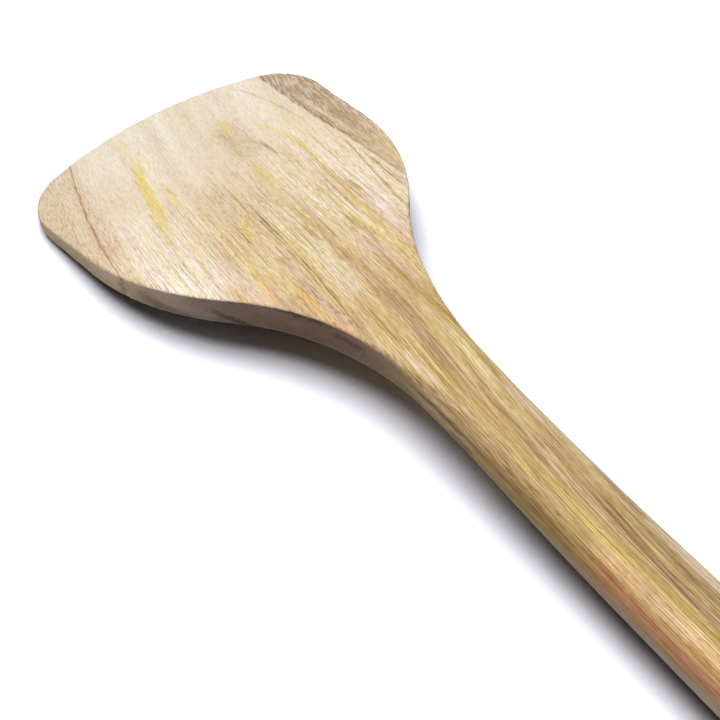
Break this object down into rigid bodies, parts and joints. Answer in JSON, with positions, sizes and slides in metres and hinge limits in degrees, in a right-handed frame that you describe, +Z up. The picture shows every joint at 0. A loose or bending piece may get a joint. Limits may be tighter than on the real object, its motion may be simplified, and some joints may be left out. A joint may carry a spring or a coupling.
{
  "type": "spatula",
  "caption": "Flat-bladed cooking spatula carved from solid wood: broad blade with a bowed edge, slim arched neck, rounded straight handle.",
  "frame": {"origin": "under the middle of the bounding box, on the table that the spatula lies on", "axes": "+X along the spatula from the blade to the end of the handle, +Y across the blade, +Z up from the table"},
  "size_m": [0.35, 0.095, 0.0225],
  "materials": {
    "wood": "smooth sanded hardwood, unvarnished, slight sheen"
  },
  "bodies": {
    "root": {"spatula": "wood"}
  },
  "joints": []
}
